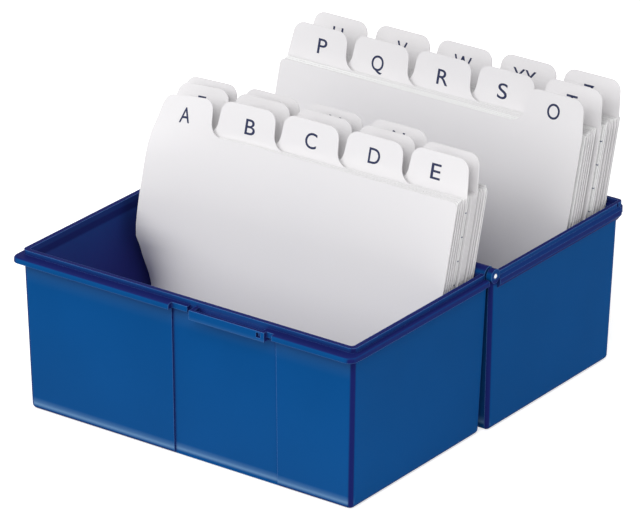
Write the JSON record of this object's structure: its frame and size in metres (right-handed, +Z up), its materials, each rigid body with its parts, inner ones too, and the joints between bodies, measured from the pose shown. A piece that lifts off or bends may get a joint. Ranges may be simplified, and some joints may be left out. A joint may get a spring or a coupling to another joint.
{
  "type": "index card drawer",
  "caption": "Two hinged blue plastic card trays that stand open side by side, each with tabbed A to Z dividers and blank cards leaning to the rear.",
  "frame": {"origin": "centre of the front tray's underside, on the surface that the trays stand on", "axes": "+X to the right along the front wall, +Y from the front tray towards the rear tray, +Z up"},
  "size_m": [0.1694, 0.1975, 0.1186],
  "materials": {
    "tray": "moulded dark blue, fine satin",
    "rod": "drawn steel wire",
    "divider": "thin light grey sheet, smooth",
    "card": "uncoated white card"
  },
  "bodies": {
    "front_tray": {"front_tray": "tray"},
    "rear_tray": {"rear_tray": "tray", "hinge_rod": "rod"},
    "divider_a": {"divider_a": "divider"},
    "divider_b": {"divider_b": "divider"},
    "divider_c": {"divider_c": "divider"},
    "divider_d": {"divider_d": "divider"},
    "divider_e": {"divider_e": "divider"},
    "divider_f": {"divider_f": "divider"},
    "divider_g": {"divider_g": "divider"},
    "divider_h": {"divider_h": "divider"},
    "divider_i": {"divider_i": "divider"},
    "divider_j": {"divider_j": "divider"},
    "divider_k": {"divider_k": "divider"},
    "divider_l": {"divider_l": "divider"},
    "divider_m": {"divider_m": "divider"},
    "divider_n": {"divider_n": "divider"},
    "cards_a_e": {"cards_a_e": "card"},
    "cards_f_j": {"cards_f_j": "card"},
    "cards_k_n": {"cards_k_n": "card"},
    "divider_o": {"divider_o": "divider"},
    "divider_p": {"divider_p": "divider"},
    "divider_q": {"divider_q": "divider"},
    "divider_r": {"divider_r": "divider"},
    "divider_s": {"divider_s": "divider"},
    "divider_t": {"divider_t": "divider"},
    "divider_u": {"divider_u": "divider"},
    "divider_v": {"divider_v": "divider"},
    "divider_w": {"divider_w": "divider"},
    "divider_xy": {"divider_xy": "divider"},
    "divider_z": {"divider_z": "divider"},
    "cards_o": {"cards_o": "card"},
    "cards_p_t": {"cards_p_t": "card"},
    "cards_u_z": {"cards_u_z": "card"}
  },
  "joints": [
    {"name": "tray_fold", "type": "hinge", "parent": "front_tray", "child": "rear_tray", "pos_m": [0, 0.0465, 0.06895], "axis": [-1, 0, 0], "range_deg": [-140, 0]},
    {"name": "lift_divider_a", "type": "slide", "parent": "front_tray", "child": "divider_a", "axis": [0, 0.2521, 0.9677], "range_m": [0, 0.122]},
    {"name": "lift_divider_b", "type": "slide", "parent": "front_tray", "child": "divider_b", "axis": [0, 0.2521, 0.9677], "range_m": [0, 0.122]},
    {"name": "lift_divider_c", "type": "slide", "parent": "front_tray", "child": "divider_c", "axis": [0, 0.2521, 0.9677], "range_m": [0, 0.122]},
    {"name": "lift_divider_d", "type": "slide", "parent": "front_tray", "child": "divider_d", "axis": [0, 0.2521, 0.9677], "range_m": [0, 0.122]},
    {"name": "lift_divider_e", "type": "slide", "parent": "front_tray", "child": "divider_e", "axis": [0, 0.2521, 0.9677], "range_m": [0, 0.122]},
    {"name": "lift_divider_f", "type": "slide", "parent": "front_tray", "child": "divider_f", "axis": [0, 0.2521, 0.9677], "range_m": [0, 0.122]},
    {"name": "lift_divider_g", "type": "slide", "parent": "front_tray", "child": "divider_g", "axis": [0, 0.2521, 0.9677], "range_m": [0, 0.122]},
    {"name": "lift_divider_h", "type": "slide", "parent": "front_tray", "child": "divider_h", "axis": [0, 0.2521, 0.9677], "range_m": [0, 0.122]},
    {"name": "lift_divider_i", "type": "slide", "parent": "front_tray", "child": "divider_i", "axis": [0, 0.2521, 0.9677], "range_m": [0, 0.122]},
    {"name": "lift_divider_j", "type": "slide", "parent": "front_tray", "child": "divider_j", "axis": [0, 0.2521, 0.9677], "range_m": [0, 0.122]},
    {"name": "lift_divider_k", "type": "slide", "parent": "front_tray", "child": "divider_k", "axis": [0, 0.2521, 0.9677], "range_m": [0, 0.122]},
    {"name": "lift_divider_l", "type": "slide", "parent": "front_tray", "child": "divider_l", "axis": [0, 0.2521, 0.9677], "range_m": [0, 0.122]},
    {"name": "lift_divider_m", "type": "slide", "parent": "front_tray", "child": "divider_m", "axis": [0, 0.2521, 0.9677], "range_m": [0, 0.122]},
    {"name": "lift_divider_n", "type": "slide", "parent": "front_tray", "child": "divider_n", "axis": [0, 0.2521, 0.9677], "range_m": [0, 0.122]},
    {"name": "lift_cards_a_e", "type": "slide", "parent": "front_tray", "child": "cards_a_e", "axis": [0, 0.2521, 0.9677], "range_m": [0, 0.122]},
    {"name": "lift_cards_f_j", "type": "slide", "parent": "front_tray", "child": "cards_f_j", "axis": [0, 0.2521, 0.9677], "range_m": [0, 0.122]},
    {"name": "lift_cards_k_n", "type": "slide", "parent": "front_tray", "child": "cards_k_n", "axis": [0, 0.2521, 0.9677], "range_m": [0, 0.122]},
    {"name": "lift_divider_o", "type": "slide", "parent": "rear_tray", "child": "divider_o", "axis": [0, 0.2521, 0.9677], "range_m": [0, 0.122]},
    {"name": "lift_divider_p", "type": "slide", "parent": "rear_tray", "child": "divider_p", "axis": [0, 0.2521, 0.9677], "range_m": [0, 0.122]},
    {"name": "lift_divider_q", "type": "slide", "parent": "rear_tray", "child": "divider_q", "axis": [0, 0.2521, 0.9677], "range_m": [0, 0.122]},
    {"name": "lift_divider_r", "type": "slide", "parent": "rear_tray", "child": "divider_r", "axis": [0, 0.2521, 0.9677], "range_m": [0, 0.122]},
    {"name": "lift_divider_s", "type": "slide", "parent": "rear_tray", "child": "divider_s", "axis": [0, 0.2521, 0.9677], "range_m": [0, 0.122]},
    {"name": "lift_divider_t", "type": "slide", "parent": "rear_tray", "child": "divider_t", "axis": [0, 0.2521, 0.9677], "range_m": [0, 0.122]},
    {"name": "lift_divider_u", "type": "slide", "parent": "rear_tray", "child": "divider_u", "axis": [0, 0.2521, 0.9677], "range_m": [0, 0.122]},
    {"name": "lift_divider_v", "type": "slide", "parent": "rear_tray", "child": "divider_v", "axis": [0, 0.2521, 0.9677], "range_m": [0, 0.122]},
    {"name": "lift_divider_w", "type": "slide", "parent": "rear_tray", "child": "divider_w", "axis": [0, 0.2521, 0.9677], "range_m": [0, 0.122]},
    {"name": "lift_divider_xy", "type": "slide", "parent": "rear_tray", "child": "divider_xy", "axis": [0, 0.2521, 0.9677], "range_m": [0, 0.122]},
    {"name": "lift_divider_z", "type": "slide", "parent": "rear_tray", "child": "divider_z", "axis": [0, 0.2521, 0.9677], "range_m": [0, 0.122]},
    {"name": "lift_cards_o", "type": "slide", "parent": "rear_tray", "child": "cards_o", "axis": [0, 0.2521, 0.9677], "range_m": [0, 0.122]},
    {"name": "lift_cards_p_t", "type": "slide", "parent": "rear_tray", "child": "cards_p_t", "axis": [0, 0.2521, 0.9677], "range_m": [0, 0.122]},
    {"name": "lift_cards_u_z", "type": "slide", "parent": "rear_tray", "child": "cards_u_z", "axis": [0, 0.2521, 0.9677], "range_m": [0, 0.122]}
  ]
}
